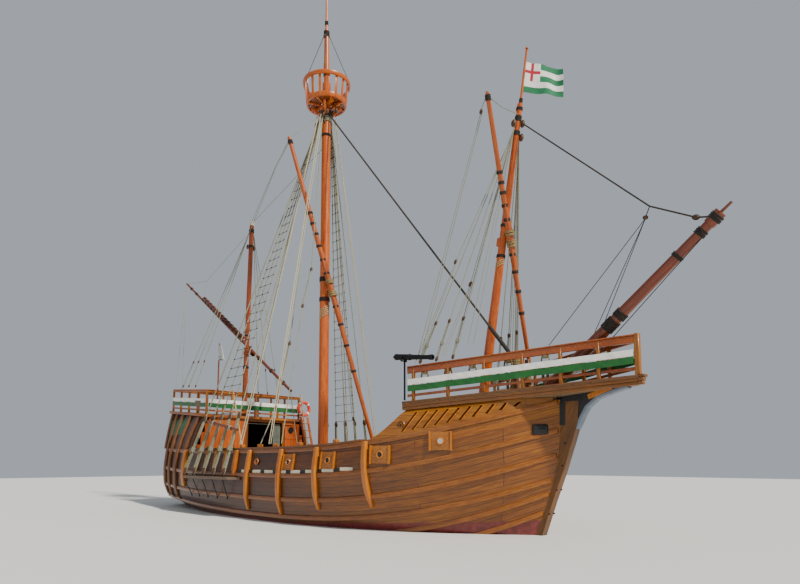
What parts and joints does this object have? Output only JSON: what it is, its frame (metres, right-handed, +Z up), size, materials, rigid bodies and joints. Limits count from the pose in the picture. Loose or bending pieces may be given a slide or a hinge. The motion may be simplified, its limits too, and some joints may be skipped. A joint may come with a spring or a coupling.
{
  "type": "tall ship",
  "caption": "Wooden three-masted carrack with high forecastle and poop, crow's nest, steeved bowsprit, lateen mizzen yard and channels, sails unbent, afloat.",
  "frame": {"origin": "on the centreline amidships, at the waterline, where the water carries the hull", "axes": "+X towards the bow, +Y to port, +Z up"},
  "size_m": [26.058, 6.84, 22.4727],
  "materials": {
    "hull_planks": "varnished planks",
    "dark_timber": "tarred timber",
    "beak_paint": "black paint",
    "deck_planks": "scrubbed planks",
    "mast_wood": "varnished round spar",
    "spar_wood": "oiled round spar",
    "rail_wood": "varnished sawn timber",
    "door_wood": "varnished boards",
    "rope": "laid hemp",
    "tarred_rope": "tarred hemp",
    "cloth": "woven cloth",
    "buoy_skin": "moulded"
  },
  "bodies": {
    "ship": {"hull": "hull_planks", "keel": "dark_timber", "stem": "dark_timber", "beak_knee": "beak_paint", "sternpost": "dark_timber", "poop_shell": "hull_planks", "poop_deck": "deck_planks", "poop_bulkhead": "rail_wood", "poop_rail": "rail_wood", "poop_cloth_port": "cloth", "poop_cloth_starboard": "cloth", "poop_cloth_front": "cloth", "forecastle_deck": "deck_planks", "forecastle_walls": "hull_planks", "forecastle_rail": "rail_wood", "forecastle_cloth_port": "cloth", "forecastle_cloth_starboard": "cloth", "main_mast": "mast_wood", "main_topmast": "mast_wood", "crows_nest": "mast_wood", "fore_mast": "mast_wood", "fore_flagstaff": "mast_wood", "mizzen_mast": "mast_wood", "bowsprit": "spar_wood", "stay_bitts": "dark_timber", "channel_port": "dark_timber", "main_shrouds_port": "rope", "fore_shrouds_port": "rope", "channel_starboard": "dark_timber", "main_shrouds_starboard": "rope", "fore_shrouds_starboard": "rope", "main_stay": "tarred_rope", "fore_stay": "tarred_rope", "hatch_coaming": "deck_planks", "windlass_frame": "dark_timber", "poop_ladder": "door_wood", "forecastle_ladder": "rail_wood", "swivel_gun": "beak_paint", "flag": "cloth", "ensign_staff": "mast_wood", "ensign": "cloth", "lifebuoy": "buoy_skin"},
    "rudder": {"rudder": "hull_planks", "tiller": "spar_wood"},
    "main_yard": {"main_yard": "mast_wood"},
    "fore_yard": {"fore_yard": "mast_wood"},
    "mizzen_yard": {"mizzen_yard": "spar_wood"},
    "cabin_door": {"cabin_door": "door_wood"},
    "hatch_cover": {"hatch_cover": "deck_planks"},
    "windlass": {"windlass_barrel": "mast_wood"}
  },
  "joints": [
    {"name": "rudder_swing", "type": "hinge", "parent": "ship", "child": "rudder", "pos_m": [-9.028, 0, 0], "axis": [-0.0995, 0, 0.995], "range_deg": [-30, 30]},
    {"name": "main_yard_swing", "type": "hinge", "parent": "ship", "child": "main_yard", "pos_m": [-0.12, 0, 8.21], "axis": [1, 0, 0], "range_deg": [0, 75]},
    {"name": "fore_yard_swing", "type": "hinge", "parent": "ship", "child": "fore_yard", "pos_m": [7.84, 0, 7.96], "axis": [1, 0, 0], "range_deg": [0, 67]},
    {"name": "mizzen_yard_swing", "type": "hinge", "parent": "ship", "child": "mizzen_yard", "pos_m": [-5.968, 0, 6.6], "axis": [0.0236, 0, 0.9997], "range_deg": [-25, 25]},
    {"name": "cabin_door_hinge", "type": "hinge", "parent": "ship", "child": "cabin_door", "pos_m": [-5.06, 1.435, 2.5], "axis": [0, 0, -1], "range_deg": [0, 175]},
    {"name": "hatch_hinge", "type": "hinge", "parent": "ship", "child": "hatch_cover", "pos_m": [1.47, 0, 1.67], "axis": [0, -1, 0], "range_deg": [0, 100]},
    {"name": "windlass_turn", "type": "hinge", "parent": "ship", "child": "windlass", "pos_m": [4.7, 0, 1.97], "axis": [0, 1, 0], "continuous": true}
  ]
}
